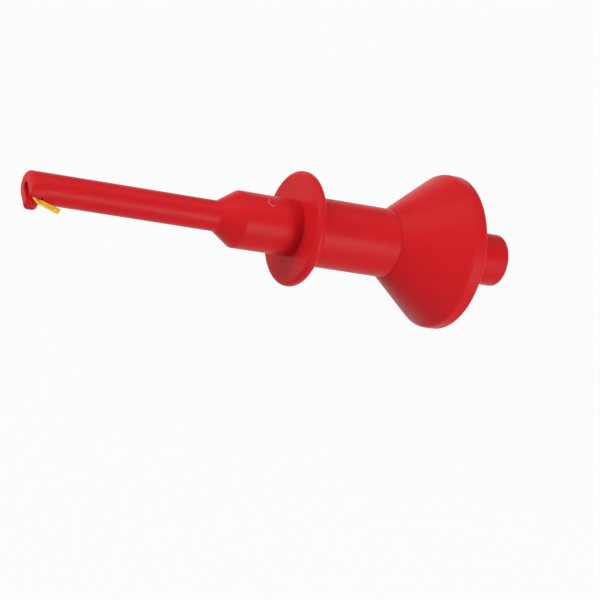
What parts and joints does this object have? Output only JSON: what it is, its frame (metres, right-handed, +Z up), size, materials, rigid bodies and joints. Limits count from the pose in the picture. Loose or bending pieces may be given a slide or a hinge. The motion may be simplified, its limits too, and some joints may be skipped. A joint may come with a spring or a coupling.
{
  "type": "grabber test hook",
  "caption": "Spring-loaded grabber test hook: a slim nose with a gold wire hook, finger flange and barrel, and a conical thumb plunger with a rear lead socket.",
  "frame": {"origin": "centre of the mouth of the rear lead socket, in the plane of the stub's end", "axes": "+X along the tool's axis, out of the lead socket, with the hook at -X; the hook opens towards -Y; +Z is up with the tool lying on its side"},
  "size_m": [0.0987, 0.0294, 0.0294],
  "materials": {
    "red_plastic": "satin moulded red plastic",
    "gold_plate": "bright gold plating",
    "brass": "turned brass",
    "spring_steel": "bright spring steel",
    "nylon": "natural nylon"
  },
  "bodies": {
    "grip": {"nose_tube": "red_plastic", "grip_body": "red_plastic", "guide_bush": "nylon", "spring_washer": "spring_steel", "return_spring": "spring_steel"},
    "plunger": {"hook_wire": "gold_plate", "contact_rod": "brass", "retaining_clip": "spring_steel", "socket_sleeve": "brass", "plunger_knob": "red_plastic", "rear_cap": "red_plastic"}
  },
  "joints": [
    {"name": "plunger_press", "type": "slide", "parent": "grip", "child": "plunger", "axis": [-1, 0, 0], "range_m": [0, 0.0075], "stiffness_N_per_m": 400, "springref_m": -0.005, "deforming": ["return_spring"]}
  ]
}
